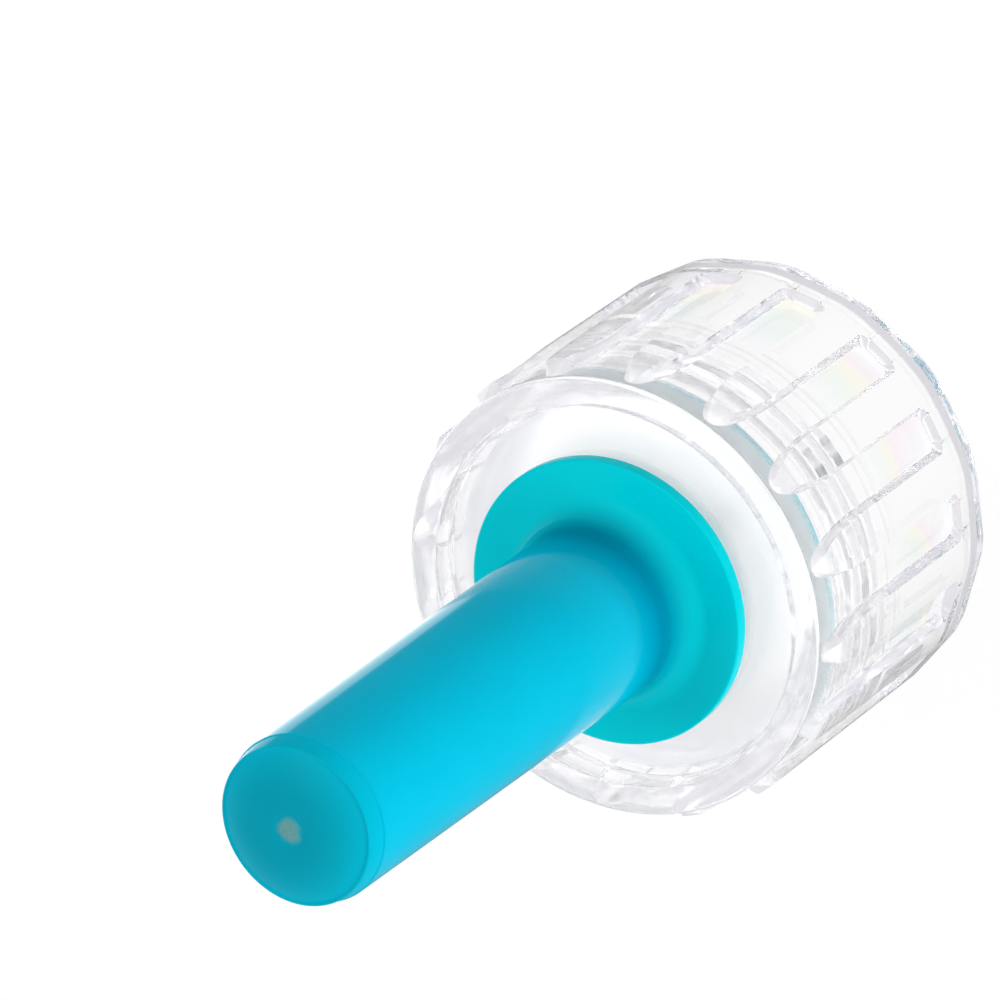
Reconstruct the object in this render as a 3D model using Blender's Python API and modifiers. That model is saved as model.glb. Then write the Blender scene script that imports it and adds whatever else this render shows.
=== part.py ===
"""Pen needle: a clear screw-on hub, its glued cannula and the inner shield that pulls off.

Units are metres and +Z is up. The part stands on the open rim of its hub, with the origin at the
centre of that rim. The cannula and the shield point along +Z.

The four real pieces are the four objects: the hub is one clear moulding, the cannula is one ground
steel tube, the adhesive bead holds it in the hub's neck, and the inner shield is one turquoise
moulding with its origin on the line along which it is pulled off.
"""
import math

import bmesh
import bpy
from mathutils import Matrix, Vector

MM = 0.001

# Hub: skirt, front ring and web
BODY_RADIUS = 5.60 * MM
FLAT_DEPTH = 0.06 * MM            # how far the sixteen soft flats lie inside the body's circle
SKIRT_HEIGHT = 7.60 * MM          # rim to the face of the front ring
RING_STEP = 0.26 * MM             # the front ring is this much smaller in radius than the body
RING_WALL = 0.71 * MM
RECESS_DEPTH = 0.55 * MM
WEB_THICKNESS = 0.60 * MM
RING_EDGE = 0.10 * MM             # rounding of the ring's outer edge
LIP_EDGE = 0.05 * MM              # small breaks of the recess, the rim and the step in the neck
DRAFT = 0.02 * MM                 # how much a short moulded wall leans

# Socket that screws onto the pen
SKIRT_WALL = 0.70 * MM
THREAD_SEAT = 0.15 * MM           # wall step from the plain entry up to the thread's root
THREAD_LENGTH = 2.85 * MM
THREAD_PITCH = 0.80 * MM
THREAD_DEPTH = 0.33 * MM
THREAD_ROOT_WIDTH = 0.46 * MM
THREAD_CREST_WIDTH = 0.14 * MM
THREAD_BURY = 0.05 * MM           # the ridge starts this deep inside the wall
THREAD_MARGIN = 0.10 * MM
THREAD_RUNOUT_TURN = 0.12         # part of a turn over which the ridge fades in and out
THREAD_RUNOUT_HEIGHT = 0.35       # height of the ridge at its two ends, as a part of its depth
MOUTH_CHAMFER = 0.14 * MM
SEAT_GAP = 0.03 * MM              # the pen's seat ends this far inside the thread's crest

# Lands: raised grips round the skirt, with a shallow pocket between each two
LAND_COUNT = 16
LAND_WIDTH = 1.08 * MM
LAND_NOSE = 2.15 * MM             # length of the rounded end next to the front ring
LAND_NOSE_GAP = 0.25 * MM         # from that end's tip to the face of the front ring
LAND_SLOPE = 0.40 * MM            # height over which the crest slopes down to the ring at its tip
LAND_FOOT_CORNER = 0.20 * MM      # hollow corner between a land and the band at the rim
RIM_BAND = 1.00 * MM
POCKET_STEP = 0.04 * MM           # the pockets' floor lies this far inside the front ring
POCKET_TOP_GAP = 0.18 * MM        # from the pockets' upper edge to the face of the front ring

# Collar round the neck's foot, on which the shield's flange sits
COLLAR_RADIUS = 2.30 * MM
COLLAR_HEIGHT = 0.50 * MM

# Neck
NECK_HEIGHT = 4.60 * MM           # above the face of the front ring
NECK_BASE_RADIUS = 1.50 * MM
NECK_FOOT_FILLET = 0.18 * MM
NECK_STEP = 0.13 * MM
NECK_TIP_RADIUS = 1.23 * MM
NECK_TIP_LENGTH = 0.95 * MM
NECK_TIP_EDGE = 0.15 * MM

# Cannula, its bore and its glue
CANNULA_RADIUS = 0.115 * MM
LUMEN_RADIUS = 0.055 * MM
CANNULA_EXPOSED = 4.00 * MM       # from the neck's tip to the point
CANNULA_BACK = 4.90 * MM          # from the web into the socket
TIP_BEVEL_LENGTH = 0.70 * MM
TIP_FACET_TURN = math.radians(38.0)
TIP_FACET_STEEPER = 1.3           # slope of the two side facets beside the main bevel's
TIP_FACET_DROP = 0.03 * MM        # how far below the main bevel's point the side facets meet
CANNULA_GAP = 0.02 * MM
BORE_FUNNEL = 0.18 * MM
WELL_RADIUS = 0.42 * MM
WELL_FLARE = 0.08 * MM
WELL_DEPTH = 1.10 * MM
BEAD_GAP = 0.02 * MM
BEAD_FILL_DROP = 0.06 * MM        # how far the glue's rim lies below the neck's tip
BEAD_CLIMB = 0.16 * MM            # how far the glue creeps up the cannula from its rim

# Inner shield
FLANGE_RADIUS = 3.47 * MM
FLANGE_THICKNESS = 0.34 * MM
FLANGE_EDGE = 0.06 * MM
FLANGE_FILLET = 0.60 * MM
SHIELD_BASE_RADIUS = 2.08 * MM
SHIELD_TIP_RADIUS = 1.97 * MM
SHIELD_TIP_WALL = 0.45 * MM
SHIELD_NECK_GAP = 0.06 * MM
SHIELD_SEAT_GAP = 0.02 * MM
SHIELD_POINT_ROOM = 4.85 * MM     # from the cannula's point to the shield's closed end
SHIELD_END_WALL = 0.70 * MM
SHIELD_LEAD_IN = 0.12 * MM
SHOULDER_HEIGHT = 0.31 * MM       # rounded shoulder between the tube and the end ring
SHOULDER_WIDTH = 0.16 * MM
END_RING_STEP = 0.04 * MM
END_DOME_RISE = 0.09 * MM
END_FLAT_RADIUS = 1.15 * MM
GATE_WELL_RADIUS = 0.46 * MM
GATE_WELL_DEPTH = 0.07 * MM
GATE_RADIUS = 0.22 * MM
GATE_HEIGHT = 0.05 * MM

# Facets round each turned piece
HUB_STEPS = 80
SHIELD_STEPS = 56
BEAD_STEPS = 24
CANNULA_STEPS = 20
THREAD_STEPS = 48
NOSE_STEPS = 12                   # along the rounded end of each land

# Places that follow from the sizes above
LAND_PITCH = 2.0 * math.pi / LAND_COUNT
LAND_TIP_Z = SKIRT_HEIGHT - LAND_NOSE_GAP
RING_RADIUS = BODY_RADIUS - RING_STEP
POCKET_RADIUS = RING_RADIUS - POCKET_STEP
RECESS_RADIUS = RING_RADIUS - RING_WALL
RECESS_FLOOR_Z = SKIRT_HEIGHT - RECESS_DEPTH
WEB_UNDER_Z = RECESS_FLOOR_Z - WEB_THICKNESS
SOCKET_RADIUS = BODY_RADIUS - SKIRT_WALL
THREAD_ROOT_RADIUS = SOCKET_RADIUS - THREAD_SEAT
THREAD_BOTTOM_Z = WEB_UNDER_Z - THREAD_LENGTH
SEAT_RADIUS = THREAD_ROOT_RADIUS - THREAD_DEPTH - SEAT_GAP
FLAT_RADIUS = BODY_RADIUS - FLAT_DEPTH
NECK_TOP_Z = SKIRT_HEIGHT + NECK_HEIGHT
WELL_FLOOR_Z = NECK_TOP_Z - WELL_DEPTH
BORE_RADIUS = CANNULA_RADIUS + CANNULA_GAP
POINT_Z = NECK_TOP_Z + CANNULA_EXPOSED
CANNULA_BACK_Z = WEB_UNDER_Z - CANNULA_BACK
COLLAR_TOP_Z = RECESS_FLOOR_Z + COLLAR_HEIGHT
FLANGE_BOTTOM_Z = COLLAR_TOP_Z + SHIELD_SEAT_GAP
FLANGE_TOP_Z = FLANGE_BOTTOM_Z + FLANGE_THICKNESS
SHIELD_BORE_RADIUS = NECK_BASE_RADIUS + SHIELD_NECK_GAP
SHIELD_BORE_END_Z = POINT_Z + SHIELD_POINT_ROOM
SHIELD_TOP_Z = SHIELD_BORE_END_Z + SHIELD_END_WALL
AXIS_MERGE = 0.001 * MM


def clear_scene():
    """Remove every object, mesh and collection that the file opened with."""
    for old in list(bpy.data.objects):
        bpy.data.objects.remove(old, do_unlink=True)
    for old in list(bpy.data.collections):
        bpy.data.collections.remove(old)


def new_collection(name):
    """Add an empty collection to the scene."""
    collection = bpy.data.collections.new(name)
    bpy.context.scene.collection.children.link(collection)
    return collection


def plain_material(name, color, roughness, metallic=0.0, transmission=0.0, ior=1.5):
    """Principled material of one colour."""
    material = bpy.data.materials.new(name)
    material.use_nodes = True
    shader = material.node_tree.nodes["Principled BSDF"]
    shader.inputs["Base Color"].default_value = (*color, 1.0)
    shader.inputs["Roughness"].default_value = roughness
    shader.inputs["Metallic"].default_value = metallic
    shader.inputs["Transmission Weight"].default_value = transmission
    shader.inputs["IOR"].default_value = ior
    material.diffuse_color = (*color, 1.0)
    return material


def arc(center_r, center_z, radius, start, end, count):
    """Points (r, z) on an arc from angle start to angle end, in degrees, both ends kept."""
    turns = [math.radians(start + (end - start) * i / count) for i in range(count + 1)]
    return [(center_r + radius * math.cos(t), center_z + radius * math.sin(t)) for t in turns]


def turned(name, profile, steps, collection, closed):
    """Turn a profile of (r, z) points round Z with a Screw modifier.

    The profile runs down the outer side. A closed one comes back up the bore; an open one starts
    and ends on the axis.
    """
    mesh = bpy.data.meshes.new(name)
    count = len(profile)
    edges = [(i, (i + 1) % count) for i in range(count if closed else count - 1)]
    mesh.from_pydata([(r, 0.0, z) for r, z in profile], edges, [])
    piece = bpy.data.objects.new(name, mesh)
    collection.objects.link(piece)
    screw = piece.modifiers.new("Turned", "SCREW")
    screw.axis = "Z"
    screw.angle = 2.0 * math.pi
    screw.steps = steps
    screw.render_steps = steps
    screw.use_merge_vertices = not closed
    screw.merge_threshold = AXIS_MERGE
    screw.use_smooth_shade = False
    return piece


def mesh_object(name, shape, collection):
    """Put a finished bmesh into a new object and free it."""
    bmesh.ops.recalc_face_normals(shape, faces=shape.faces)
    mesh = bpy.data.meshes.new(name)
    shape.to_mesh(mesh)
    shape.free()
    piece = bpy.data.objects.new(name, mesh)
    collection.objects.link(piece)
    return piece


def combine(piece, tool, operation):
    """Boolean a tool with a piece, and keep the tool out of the render and the build."""
    boolean = piece.modifiers.new(tool.name, "BOOLEAN")
    boolean.operation = operation
    boolean.solver = "EXACT"
    boolean.object = tool
    tool.hide_render = True
    tool.display_type = "WIRE"


def hub_profile():
    """Section of the hub: neck tip, collar, recess, ring, skirt, socket, web and bore."""
    neck_tip = arc(NECK_TIP_RADIUS - NECK_TIP_EDGE, NECK_TOP_Z - NECK_TIP_EDGE, NECK_TIP_EDGE, 90, 0, 3)
    neck_step_z = NECK_TOP_Z - NECK_TIP_LENGTH
    foot_z = COLLAR_TOP_Z + NECK_FOOT_FILLET
    foot = arc(NECK_BASE_RADIUS + NECK_FOOT_FILLET, foot_z, NECK_FOOT_FILLET, 180, 270, 2)
    collar = [
        (COLLAR_RADIUS - LIP_EDGE, COLLAR_TOP_Z),
        (COLLAR_RADIUS, COLLAR_TOP_Z - LIP_EDGE),
        (COLLAR_RADIUS + DRAFT, RECESS_FLOOR_Z),
    ]
    recess_wall = [
        (RECESS_RADIUS - DRAFT - LIP_EDGE, RECESS_FLOOR_Z),
        (RECESS_RADIUS - DRAFT, RECESS_FLOOR_Z + LIP_EDGE),
        (RECESS_RADIUS, SKIRT_HEIGHT - LIP_EDGE),
        (RECESS_RADIUS + LIP_EDGE, SKIRT_HEIGHT),
    ]
    ring_edge = arc(RING_RADIUS - RING_EDGE, SKIRT_HEIGHT - RING_EDGE, RING_EDGE, 90, 0, 2)
    crest_end = [(RING_RADIUS, LAND_TIP_Z), (BODY_RADIUS, LAND_TIP_Z - LAND_SLOPE)]
    rim = [
        (BODY_RADIUS, LIP_EDGE),
        (BODY_RADIUS - LIP_EDGE, 0.0),
        (SOCKET_RADIUS + MOUTH_CHAMFER, 0.0),
        (SOCKET_RADIUS, MOUTH_CHAMFER),
    ]
    socket = [
        (SOCKET_RADIUS, THREAD_BOTTOM_Z - THREAD_SEAT),
        (THREAD_ROOT_RADIUS, THREAD_BOTTOM_Z),
        (THREAD_ROOT_RADIUS, WEB_UNDER_Z - THREAD_MARGIN),
        (SEAT_RADIUS, WEB_UNDER_Z),
    ]
    bore = [
        (BORE_RADIUS + BORE_FUNNEL, WEB_UNDER_Z),
        (BORE_RADIUS, WEB_UNDER_Z + BORE_FUNNEL),
        (BORE_RADIUS, WELL_FLOOR_Z),
        (WELL_RADIUS, WELL_FLOOR_Z),
        (WELL_RADIUS + WELL_FLARE, NECK_TOP_Z),
    ]
    return (
        neck_tip
        + [(NECK_TIP_RADIUS, neck_step_z + LIP_EDGE), (NECK_TIP_RADIUS + NECK_STEP, neck_step_z)]
        + foot
        + collar
        + recess_wall
        + ring_edge
        + crest_end
        + rim
        + socket
        + bore
    )


def soft_flats(collection):
    """Sixteen-sided prism that gives the skirt its soft flats, one under each pocket."""
    shape = bmesh.new()
    corner_radius = FLAT_RADIUS / math.cos(LAND_PITCH / 2.0)
    bmesh.ops.create_cone(
        shape,
        cap_ends=True,
        segments=LAND_COUNT,
        radius1=corner_radius,
        radius2=corner_radius,
        depth=4.0 * NECK_TOP_Z,
        matrix=Matrix.Rotation(math.pi / 2.0 + LAND_PITCH / 2.0, 4, "Z"),
    )
    return mesh_object("skirt_flats", shape, collection)


def land_outline():
    """Outline (y, z) of one land: hollow corners at the rim band, half an ellipse at the ring."""
    half = LAND_WIDTH / 2.0
    foot = half + LAND_FOOT_CORNER
    corner_z = RIM_BAND + LAND_FOOT_CORNER
    nose_z = LAND_TIP_Z - LAND_NOSE
    right = arc(foot, corner_z, LAND_FOOT_CORNER, 270, 180, 3)
    left = arc(-foot, corner_z, LAND_FOOT_CORNER, 0, -90, 3)
    turns = [math.pi * i / NOSE_STEPS for i in range(NOSE_STEPS + 1)]
    nose = [(half * math.cos(t), nose_z + LAND_NOSE * math.sin(t)) for t in turns]
    return [(-foot, RIM_BAND / 2.0), (foot, RIM_BAND / 2.0)] + right + nose + left


def lands(collection):
    """One tongue for each land, from inside the pockets' floor out past the body."""
    shape = bmesh.new()
    inner_x = SOCKET_RADIUS
    outer_x = BODY_RADIUS + SKIRT_WALL
    outline = land_outline()
    for index in range(LAND_COUNT):
        turn = Matrix.Rotation((index + 0.5) * LAND_PITCH, 4, "Z")
        corners = [shape.verts.new(turn @ Vector((inner_x, y, z))) for y, z in outline]
        side = shape.faces.new(corners)
        pushed = bmesh.ops.extrude_face_region(shape, geom=[side])
        moved = [item for item in pushed["geom"] if isinstance(item, bmesh.types.BMVert)]
        reach = turn @ Vector((outer_x - inner_x, 0.0, 0.0))
        bmesh.ops.translate(shape, verts=moved, vec=reach)
    return mesh_object("lands", shape, collection)


def pockets(collection):
    """Band round the skirt as deep as the pockets, with the lands taken out of it."""
    top_z = SKIRT_HEIGHT - POCKET_TOP_GAP
    outer_r = BODY_RADIUS + SKIRT_WALL / 2.0
    section = [
        (POCKET_RADIUS, top_z),
        (outer_r, top_z),
        (outer_r, RIM_BAND),
        (POCKET_RADIUS, RIM_BAND),
    ]
    band = turned("pockets", section, HUB_STEPS, collection, closed=True)
    combine(band, lands(collection), "DIFFERENCE")
    return band


def thread_ridge(collection):
    """Right-hand internal thread as one loft along its helix, fading out at both ends.

    Each section is a trapezoid with its root buried in the wall and its crest towards the axis.
    """
    shape = bmesh.new()
    root_r = THREAD_ROOT_RADIUS + THREAD_BURY
    first_z = THREAD_BOTTOM_Z + THREAD_MARGIN + THREAD_ROOT_WIDTH / 2.0
    last_z = WEB_UNDER_Z - THREAD_MARGIN - THREAD_ROOT_WIDTH / 2.0
    turns = (last_z - first_z) / THREAD_PITCH
    count = max(2, round(turns * THREAD_STEPS))
    rows = []
    for index in range(count + 1):
        along = turns * index / count
        angle = 2.0 * math.pi * along
        z = first_z + THREAD_PITCH * along
        fade = min(1.0, min(along, turns - along) / THREAD_RUNOUT_TURN)
        height = THREAD_DEPTH * (THREAD_RUNOUT_HEIGHT + (1.0 - THREAD_RUNOUT_HEIGHT) * fade)
        crest_r = THREAD_ROOT_RADIUS - height
        section = [
            (root_r, z - THREAD_ROOT_WIDTH / 2.0),
            (crest_r, z - THREAD_CREST_WIDTH / 2.0),
            (crest_r, z + THREAD_CREST_WIDTH / 2.0),
            (root_r, z + THREAD_ROOT_WIDTH / 2.0),
        ]
        rows.append([shape.verts.new((r * math.cos(angle), r * math.sin(angle), h)) for r, h in section])
    for row, after in zip(rows, rows[1:]):
        for side in range(4):
            beside = (side + 1) % 4
            shape.faces.new((row[side], row[beside], after[beside], after[side]))
    shape.faces.new(rows[0])
    shape.faces.new(rows[-1])
    return mesh_object("thread_ridge", shape, collection)


def build_hub(parts, cutters):
    """Turn the hub, flatten its skirt, cut the pockets between the lands and add the thread."""
    hub = turned("hub", hub_profile(), HUB_STEPS, parts, closed=True)
    combine(hub, soft_flats(cutters), "INTERSECT")
    combine(hub, pockets(cutters), "DIFFERENCE")
    combine(hub, thread_ridge(cutters), "UNION")
    hub.data.materials.append(plain_material("clear_copolymer", (0.90, 0.92, 0.95), 0.08, 0.0, 0.9))
    return hub


def bevel_block(name, point, slope, turn, collection):
    """Block whose inner face is a bevel plane through a point.

    slope is the plane's angle from the cannula's axis, positive for a front point and negative for
    the back one, and turn is which way round it faces. The block lies outside the ground point.
    """
    shape = bmesh.new()
    side = 8.0 * TIP_BEVEL_LENGTH
    lean = Matrix.Rotation(turn, 4, "Z") @ Matrix.Rotation(math.pi / 2.0 - slope, 4, "Y")
    place = Matrix.Translation(point) @ lean @ Matrix.Translation(Vector((0.0, 0.0, side / 2.0)))
    bmesh.ops.create_cube(shape, size=side, matrix=place)
    return mesh_object(name, shape, collection)


def build_cannula(parts, cutters):
    """Thin tube with a ground point of three facets in front and one bevel behind."""
    profile = [
        (CANNULA_RADIUS, POINT_Z),
        (CANNULA_RADIUS, CANNULA_BACK_Z),
        (LUMEN_RADIUS, CANNULA_BACK_Z),
        (LUMEN_RADIUS, POINT_Z),
    ]
    cannula = turned("cannula", profile, CANNULA_STEPS, parts, closed=True)
    slope = math.atan2(2.0 * CANNULA_RADIUS, TIP_BEVEL_LENGTH)
    middle = Vector((0.0, 0.0, POINT_Z - TIP_BEVEL_LENGTH / 2.0))
    combine(cannula, bevel_block("main_bevel", middle, slope, 0.0, cutters), "DIFFERENCE")
    facet_point = Vector((-CANNULA_RADIUS, 0.0, POINT_Z - TIP_FACET_DROP))
    facet_slope = TIP_FACET_STEEPER * slope
    for side_name, side in (("left_facet", 1.0), ("right_facet", -1.0)):
        block = bevel_block(side_name, facet_point, facet_slope, side * TIP_FACET_TURN, cutters)
        combine(cannula, block, "DIFFERENCE")
    back_middle = Vector((0.0, 0.0, CANNULA_BACK_Z + TIP_BEVEL_LENGTH / 2.0))
    back_block = bevel_block("back_bevel", back_middle, -slope, 0.0, cutters)
    combine(cannula, back_block, "DIFFERENCE")
    cannula.data.materials.append(plain_material("ground_steel", (0.62, 0.63, 0.65), 0.25, 1.0))
    return cannula


def build_bead(parts):
    """Cured glue that fills the well and creeps a little way up the cannula."""
    inner = CANNULA_RADIUS + BEAD_GAP
    bottom_z = WELL_FLOOR_Z + BEAD_GAP
    rim_z = NECK_TOP_Z - BEAD_FILL_DROP
    climb_z = rim_z + BEAD_CLIMB
    rim_r = WELL_RADIUS - BEAD_GAP + WELL_FLARE * (rim_z - WELL_FLOOR_Z) / WELL_DEPTH
    meniscus = []
    for index in range(5):
        share = index / 5.0
        height = BEAD_CLIMB * (1.0 - math.sqrt(1.0 - (1.0 - share) ** 2))
        meniscus.append((inner + (rim_r - inner) * share, rim_z + height))
    meniscus[0] = (inner + BEAD_GAP, climb_z)
    profile = meniscus + [(rim_r, rim_z), (WELL_RADIUS - BEAD_GAP, bottom_z), (inner, bottom_z)]
    profile.append((inner, climb_z))
    bead = turned("adhesive_bead", profile, BEAD_STEPS, parts, closed=True)
    bead.data.materials.append(plain_material("cured_adhesive", (0.88, 0.88, 0.85), 0.05, 0.0, 0.8))
    return bead


def shield_profile():
    """Section of the inner shield: gate, end, shoulder, tube, fillet, flange and blind bore."""
    face_z = SHIELD_TOP_Z - GATE_HEIGHT
    well_z = face_z - GATE_WELL_DEPTH
    ring_z = face_z - END_DOME_RISE
    tube_top_z = ring_z - SHOULDER_HEIGHT
    ring_r = SHIELD_TIP_RADIUS - SHOULDER_WIDTH
    gate = [
        (0.0, well_z + GATE_HEIGHT),
        (GATE_RADIUS, well_z + GATE_HEIGHT),
        (GATE_RADIUS + DRAFT, well_z),
        (GATE_WELL_RADIUS - GATE_WELL_DEPTH, well_z),
        (GATE_WELL_RADIUS, face_z),
        (END_FLAT_RADIUS, face_z),
    ]
    dome = []
    for index in range(1, 4):
        share = index / 3.0
        r = END_FLAT_RADIUS + (ring_r - END_RING_STEP - END_FLAT_RADIUS) * share
        dome.append((r, face_z - (END_DOME_RISE - END_RING_STEP) * share ** 2))
    shoulder = []
    for index in range(4):
        turn = math.radians(90.0 * index / 3.0)
        r = ring_r + SHOULDER_WIDTH * math.sin(turn)
        shoulder.append((r, tube_top_z + SHOULDER_HEIGHT * math.cos(turn)))
    fillet_z = FLANGE_TOP_Z + FLANGE_FILLET
    fillet = arc(SHIELD_BASE_RADIUS + FLANGE_FILLET, fillet_z, FLANGE_FILLET, 180, 270, 5)
    flange = [
        (FLANGE_RADIUS - FLANGE_EDGE, FLANGE_TOP_Z),
        (FLANGE_RADIUS, FLANGE_TOP_Z - FLANGE_EDGE),
        (FLANGE_RADIUS, FLANGE_BOTTOM_Z + FLANGE_EDGE),
        (FLANGE_RADIUS - FLANGE_EDGE, FLANGE_BOTTOM_Z),
    ]
    bore_end_r = SHIELD_TIP_RADIUS - SHIELD_TIP_WALL
    bore_round = SHIELD_TIP_WALL
    bore = [
        (SHIELD_BORE_RADIUS + SHIELD_LEAD_IN, FLANGE_BOTTOM_Z),
        (SHIELD_BORE_RADIUS, FLANGE_BOTTOM_Z + SHIELD_LEAD_IN),
    ]
    bore += arc(bore_end_r - bore_round, SHIELD_BORE_END_Z - bore_round, bore_round, 0, 90, 3)
    bore.append((0.0, SHIELD_BORE_END_Z))
    return gate + dome + shoulder + fillet + flange + bore


def build_shield(parts):
    """Inner shield, parented to the empty that stands on its pull-off line."""
    pull = bpy.data.objects.new("shield_pull", None)
    parts.objects.link(pull)
    shield = turned("inner_shield", shield_profile(), SHIELD_STEPS, parts, closed=False)
    shield.parent = pull
    shield.data.materials.append(plain_material("turquoise_polyolefin", (0.0, 0.42, 0.56), 0.30))
    return shield


def shade(piece):
    """Smooth the turned faces and keep the moulded edges sharp."""
    piece.data.shade_smooth()
    piece.data.set_sharp_from_angle(angle=math.radians(30.0))


def main():
    clear_scene()
    parts = new_collection("pen_needle")
    cutters = new_collection("pen_needle_cutters")
    pieces = [
        build_hub(parts, cutters),
        build_cannula(parts, cutters),
        build_bead(parts),
        build_shield(parts),
    ]
    for piece in pieces:
        shade(piece)


main()
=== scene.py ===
"""Looks of a pen needle: clear moulded hub, ground steel cannula, glue bead and turquoise shield.

Sizes below are in millimetres unless a name or comment says otherwise. Meshes are worked out as
whole numpy grids and turned to metres when they are made.
"""

import math

import bpy
import numpy as np
from mathutils import Matrix, Vector


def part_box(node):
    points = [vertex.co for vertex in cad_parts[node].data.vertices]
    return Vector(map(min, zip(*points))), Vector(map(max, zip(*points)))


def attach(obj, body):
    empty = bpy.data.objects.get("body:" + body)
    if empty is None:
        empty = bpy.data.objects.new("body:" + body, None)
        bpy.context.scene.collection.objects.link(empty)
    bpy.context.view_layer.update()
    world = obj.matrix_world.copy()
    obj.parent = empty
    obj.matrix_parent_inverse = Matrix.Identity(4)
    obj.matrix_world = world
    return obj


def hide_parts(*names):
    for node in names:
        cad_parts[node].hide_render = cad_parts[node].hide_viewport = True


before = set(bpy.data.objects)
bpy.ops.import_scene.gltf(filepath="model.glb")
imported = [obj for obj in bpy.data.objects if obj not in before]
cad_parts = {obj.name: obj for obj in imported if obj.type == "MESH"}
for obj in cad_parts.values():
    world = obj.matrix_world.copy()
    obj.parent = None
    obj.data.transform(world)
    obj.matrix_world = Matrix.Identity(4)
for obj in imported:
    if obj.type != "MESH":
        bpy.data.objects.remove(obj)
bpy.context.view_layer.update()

MM = 0.001


def in_mm(corner):
    """A corner of a box in the frame, in millimetres."""
    return [value / MM for value in corner]


hub_high = in_mm(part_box("hub")[1])
shield_low, shield_high = [in_mm(corner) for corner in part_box("inner_shield")]
cannula_low = in_mm(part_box("cannula")[0])
bead_low, bead_high = [in_mm(corner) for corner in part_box("adhesive_bead")]

# Hub
FLAT_DEPTH = 0.06                 # how far the soft flats lie inside the lands' circle
NECK_HEIGHT = 4.60
RING_STEP = 0.26
RING_WALL = 0.71
RECESS_DEPTH = 0.55
COLLAR_RADIUS = 2.30
COLLAR_HEIGHT = 0.50
WEB_THICKNESS = 0.60
SKIRT_WALL = 0.70
RING_EDGE = 0.10
SMALL_EDGE = 0.05
DRAFT = 0.02                      # lean of the recess's and the collar's walls
FLAT_RADIUS = hub_high[0]
BODY_RADIUS = FLAT_RADIUS + FLAT_DEPTH
NECK_TOP = hub_high[2]
FACE = NECK_TOP - NECK_HEIGHT     # height of the front ring's face
RING_RADIUS = BODY_RADIUS - RING_STEP
RECESS_RADIUS = RING_RADIUS - RING_WALL
RECESS_FLOOR = FACE - RECESS_DEPTH
COLLAR_TOP = RECESS_FLOOR + COLLAR_HEIGHT
WEB_UNDER = RECESS_FLOOR - WEB_THICKNESS
SOCKET_RADIUS = BODY_RADIUS - SKIRT_WALL
NECK_BASE_RADIUS = 1.50
NECK_TIP_RADIUS = 1.23
NECK_TIP_LENGTH = 0.95
NECK_STEP = 0.13
NECK_TIP_EDGE = 0.15
NECK_FOOT = 0.18

# Thread in the socket
THREAD_SEAT = 0.15
THREAD_LENGTH = 2.85
THREAD_PITCH = 0.80
THREAD_DEPTH = 0.33
THREAD_ROOT_WIDTH = 0.46
THREAD_CREST_WIDTH = 0.14
THREAD_MARGIN = 0.10
THREAD_RUNOUT = 0.12              # part of a turn
SEAT_GAP = 0.03
MOUTH_CHAMFER = 0.22
MOUTH_MARKS = 0.005               # depth of the fine tool marks on the mouth's chamfer
THREAD_ROOT = SOCKET_RADIUS - THREAD_SEAT
THREAD_BOTTOM = WEB_UNDER - THREAD_LENGTH
SEAT_RADIUS = THREAD_ROOT - THREAD_DEPTH - SEAT_GAP

# Lands round the skirt, with a shallow pocket between each two
LAND_COUNT = 16
LAND_HALF_WIDTH = 0.54
LAND_NOSE_GAP = 0.25
LAND_TIP = FACE - LAND_NOSE_GAP
LAND_NOSE = 2.15                  # length of a land's rounded end
LAND_SLOPE = 0.40                 # height over which its crest falls to the ring
LAND_FOOT = 0.20                  # hollow corner between a land and the band at the rim
LAND_WALL = 0.04                  # half the width of a land's sloping side wall
POCKET_BOTTOM = 1.00
POCKET_TOP_GAP = 0.18
POCKET_STEP = 0.04
POCKET_TOP = FACE - POCKET_TOP_GAP
POCKET_RADIUS = RING_RADIUS - POCKET_STEP

# Bore and glue well
BORE_RADIUS = 0.135
FUNNEL = 0.18
WELL_DEPTH = 1.10
WELL_FLOOR = NECK_TOP - WELL_DEPTH
WELL_RADIUS = 0.42
WELL_MOUTH_RADIUS = 0.50
WELL_CORNER = 0.08

# Cannula
CANNULA_RADIUS = 0.115
LUMEN_RADIUS = 0.055
CANNULA_REACH = 4.00              # from the neck's end to the point
POINT = NECK_TOP + CANNULA_REACH
CANNULA_BACK = cannula_low[2]
BEVEL_LENGTH = 0.70
FACET_TURN = math.radians(38.0)
FACET_STEEPER = 1.3
FACET_DROP = 0.03

# Inner shield
FLANGE_BOTTOM = shield_low[2]
FLANGE_THICKNESS = 0.34
FLANGE_TOP = FLANGE_BOTTOM + FLANGE_THICKNESS
FLANGE_RADIUS = shield_high[0]
FLANGE_EDGE = 0.05
FLANGE_FILLET = 0.60
TUBE_BASE_RADIUS = 2.08
TUBE_TIP_RADIUS = 1.97
SHIELD_FACE = shield_high[2]
DOME_RISE = 0.28
FLAT_END_RADIUS = 0.60
END_LIP_RADIUS = 1.87
END_LIP_ROUND = 0.04
END_SLOPE = 0.40                  # height of the steep cone between the lip and the tube
END_STEP = 0.03                   # chamfered step where the cone meets the tube
GATE_WELL_RADIUS = 0.42
GATE_WELL_DEPTH = 0.02
GATE_RADIUS = 0.20
SHIELD_BORE_RADIUS = 1.56
SHIELD_BORE_TIP_RADIUS = 1.52
SHIELD_END_WALL = 0.65
SHIELD_BORE_END = SHIELD_FACE - SHIELD_END_WALL
BORE_ROUND = 0.45
LEAD_IN = 0.12

# Columns of the grids
PITCH_COLUMNS = 30                # over one pocket and one land
HUB_COLUMNS = LAND_COUNT * PITCH_COLUMNS
WALL_START, WALL_END = 9.0, 12.0  # columns from a pocket's middle to its side wall's two edges
SHIELD_COLUMNS = 192
CANNULA_COLUMNS = 64
BEAD_COLUMNS = 72
SHARP_EDGE = math.radians(32.0)

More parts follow.
